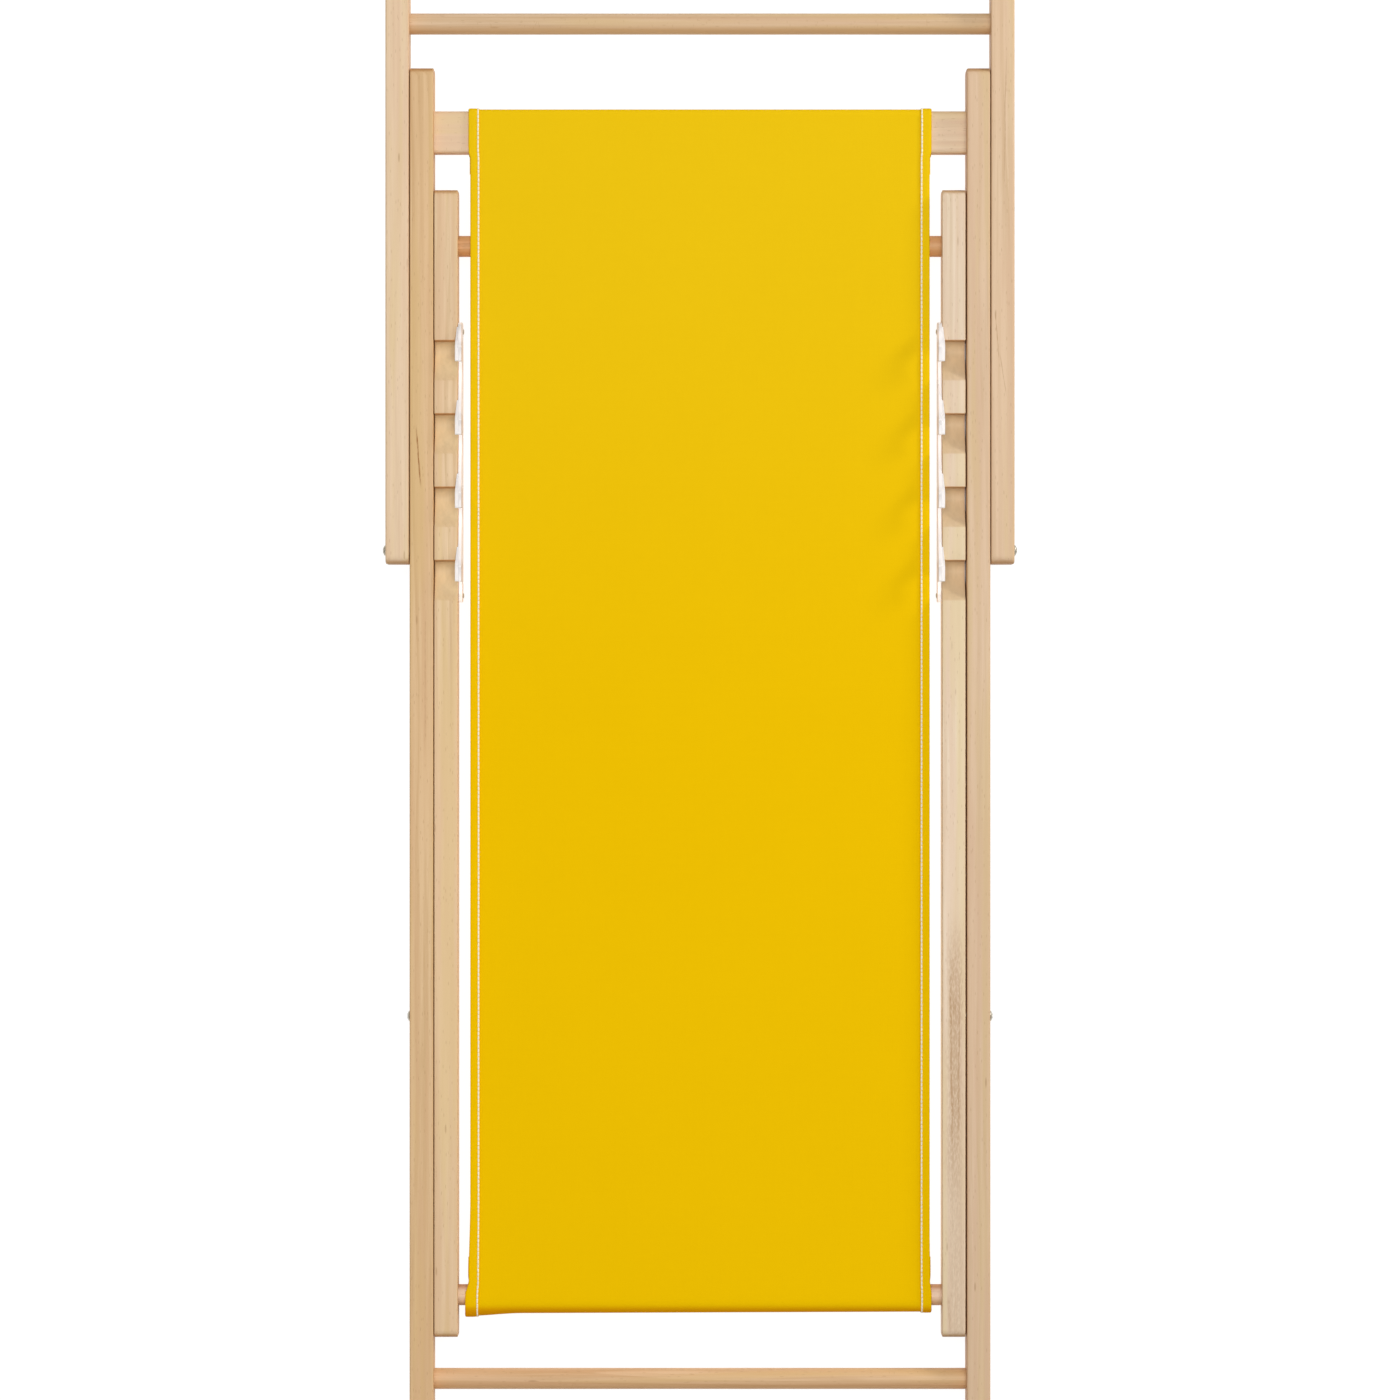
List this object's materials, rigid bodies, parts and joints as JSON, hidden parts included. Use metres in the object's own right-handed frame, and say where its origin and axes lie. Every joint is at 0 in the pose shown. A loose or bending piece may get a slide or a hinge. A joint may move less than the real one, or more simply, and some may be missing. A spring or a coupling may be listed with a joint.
{
  "type": "folding deck chair",
  "caption": "Folding wooden deck chair with a slung canvas seat, an outer prop frame and notched rails that set the recline; modelled folded flat.",
  "frame": {"origin": "under the middle of the folded chair, in the plane of the rails' undersides", "axes": "+X across the chair to the sitter's left, +Y from the front feet to the head end, +Z out of the side that the user sits on"},
  "size_m": [0.601, 1.389, 0.05],
  "materials": {
    "beech_rail": "clear satin varnish over straight-grained beech",
    "beech_dowel": "clear satin varnish on turned beech",
    "yellow_canvas": "matt plain-woven canvas with turned and stitched side hems",
    "clear_plastic": "milky translucent moulded plastic",
    "zinc_steel": "yellow-tinted zinc plate"
  },
  "bodies": {
    "seat_frame": {"seat_rail_left": "beech_rail", "seat_rail_right": "beech_rail", "seat_front_dowel": "beech_dowel", "seat_rear_dowel": "beech_dowel", "notch_strip_left": "clear_plastic", "notch_strip_right": "clear_plastic", "strip_screw_lower_left": "zinc_steel", "strip_screw_lower_right": "zinc_steel", "strip_screw_upper_left": "zinc_steel", "strip_screw_upper_right": "zinc_steel", "pivot_bolt_left": "zinc_steel", "pivot_bolt_right": "zinc_steel", "pivot_washer_left": "zinc_steel", "pivot_washer_right": "zinc_steel", "pivot_nut_left": "zinc_steel", "pivot_nut_right": "zinc_steel", "sling_seat_panel": "yellow_canvas", "sling_front_sleeve": "yellow_canvas", "sling_bend_strip": "yellow_canvas"},
    "back_frame": {"back_rail_left": "beech_rail", "back_rail_right": "beech_rail", "back_top_crossbar": "beech_dowel", "back_foot_dowel": "beech_dowel", "crossbar_screw_left": "zinc_steel", "crossbar_screw_right": "zinc_steel", "prop_bolt_left": "zinc_steel", "prop_bolt_right": "zinc_steel", "prop_washer_left": "zinc_steel", "prop_washer_right": "zinc_steel", "prop_nut_left": "zinc_steel", "prop_nut_right": "zinc_steel", "sling_back_panel": "yellow_canvas", "sling_top_sleeve": "yellow_canvas"},
    "prop_frame": {"prop_rail_left": "beech_rail", "prop_rail_right": "beech_rail", "prop_bar": "beech_dowel"}
  },
  "joints": [
    {"name": "back_fold", "type": "hinge", "parent": "seat_frame", "child": "back_frame", "pos_m": [0, -0.2995, 0.021], "axis": [1, 0, 0], "range_deg": [0, 72.83], "deforming": ["sling_bend_strip"]},
    {"name": "prop_swing", "type": "hinge", "parent": "back_frame", "child": "prop_frame", "pos_m": [0, 0.14175, 0.021], "axis": [-1, 0, 0], "range_deg": [0, 127.26]}
  ]
}
